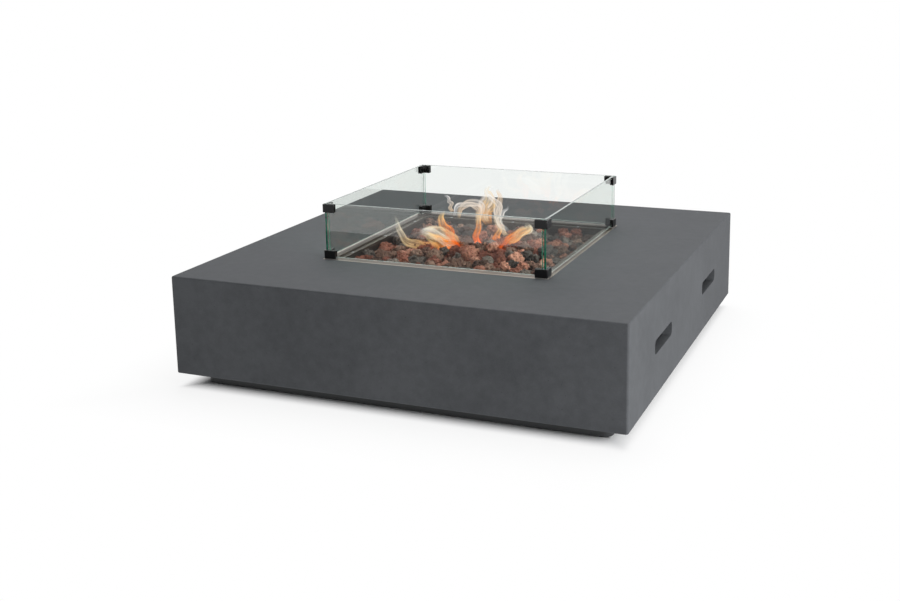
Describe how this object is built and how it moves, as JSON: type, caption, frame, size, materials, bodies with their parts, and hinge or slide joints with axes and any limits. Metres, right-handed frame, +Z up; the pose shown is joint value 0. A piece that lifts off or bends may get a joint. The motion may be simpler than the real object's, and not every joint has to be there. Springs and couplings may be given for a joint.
{
  "type": "gas fire pit table",
  "caption": "Low square concrete-look gas fire pit table with lava rocks over a grated burner pan and a lift-off glass wind guard.",
  "frame": {"origin": "middle of the footprint, on the floor", "axes": "+Z up; front is -Y; the control panel and the gas inlet are on the +Y side; hand slots on the -X and +X sides"},
  "size_m": [1.07, 1.07, 0.3995],
  "materials": {
    "concrete": "matt grey cast fibre concrete",
    "black_steel": "black powder coat",
    "zinc_steel": "bright zinc plate",
    "rubber": "matt",
    "stainless_steel": "brushed",
    "lava_rock": "rough, red-brown and dark grey",
    "brass": "turned",
    "pipe_metal": "satin",
    "copper_lead": "copper capillary",
    "black_plastic": "moulded",
    "button_plastic": "moulded",
    "battery_case": "plain printed jacket",
    "silicone_lead": "silicone insulation",
    "electrode_ceramic": "glazed white",
    "clear_glass": "toughened, green at the cut edges",
    "black_bracket": "satin black powder coat",
    "black_screws": "black oxide",
    "silicone_pad": "translucent grey"
  },
  "bodies": {
    "table": {"air_mixer": "brass", "burner_locknut": "zinc_steel", "burner_pan": "stainless_steel", "burner_ring": "stainless_steel", "burner_stands": "stainless_steel", "clamp_jack_screws": "zinc_steel", "control_panel": "black_steel", "foot_pad_front_left": "rubber", "foot_pad_front_right": "rubber", "foot_pad_rear_left": "rubber", "foot_pad_rear_right": "rubber", "gas_injector": "brass", "gas_inlet_fitting": "brass", "gas_pipe": "pipe_metal", "gas_valve": "pipe_metal", "grate_bars": "stainless_steel", "grate_frame": "stainless_steel", "igniter_battery": "battery_case", "igniter_housing": "black_plastic", "igniter_nut": "zinc_steel", "ignition_electrode": "electrode_ceramic", "ignition_lead": "silicone_lead", "inlet_locknut": "zinc_steel", "inlet_plate": "black_steel", "knob_bezel": "black_steel", "lava_rocks": "lava_rock", "pan_screws": "stainless_steel", "pan_trim_frame": "stainless_steel", "plinth_bolts": "zinc_steel", "plinth_frame": "black_steel", "plinth_nuts": "zinc_steel", "plinth_rails": "black_steel", "sensor_bracket": "stainless_steel", "supply_pipe": "pipe_metal", "table_shell": "concrete", "thermocouple": "stainless_steel", "thermocouple_lead": "copper_lead", "trim_clamp_front": "zinc_steel", "trim_clamp_left": "zinc_steel", "trim_clamp_rear": "zinc_steel", "trim_clamp_right": "zinc_steel", "wall_screws": "zinc_steel"},
    "glass_guard": {"guard_cap_front_left": "black_bracket", "guard_cap_front_right": "black_bracket", "guard_cap_rear_left": "black_bracket", "guard_cap_rear_right": "black_bracket", "guard_foot_front_left": "black_bracket", "guard_foot_front_right": "black_bracket", "guard_foot_rear_left": "black_bracket", "guard_foot_rear_right": "black_bracket", "guard_glass_front": "clear_glass", "guard_glass_left": "clear_glass", "guard_glass_rear": "clear_glass", "guard_glass_right": "clear_glass", "guard_pads": "silicone_pad", "bracket_set_screws": "black_screws"},
    "knob_slider": {"spindle_collar": "zinc_steel"},
    "control_knob": {"control_knob": "black_plastic", "valve_spindle": "zinc_steel"},
    "igniter_button": {"igniter_button": "button_plastic"}
  },
  "joints": [
    {"name": "guard_lift", "type": "slide", "parent": "table", "child": "glass_guard", "axis": [0, 0, 1], "range_m": [0, 0.25]},
    {"name": "knob_push", "type": "slide", "parent": "table", "child": "knob_slider", "axis": [0, -1, 0], "range_m": [0, 0.004], "stiffness_N_per_m": 2000, "springref_m": -0.002},
    {"name": "knob_turn", "type": "hinge", "parent": "knob_slider", "child": "control_knob", "pos_m": [-0.038, 0.527, 0.146], "axis": [0, 1, 0], "range_deg": [0, 180]},
    {"name": "igniter_push", "type": "slide", "parent": "table", "child": "igniter_button", "axis": [0, -1, 0], "range_m": [0, 0.005], "stiffness_N_per_m": 800, "springref_m": -0.003}
  ]
}
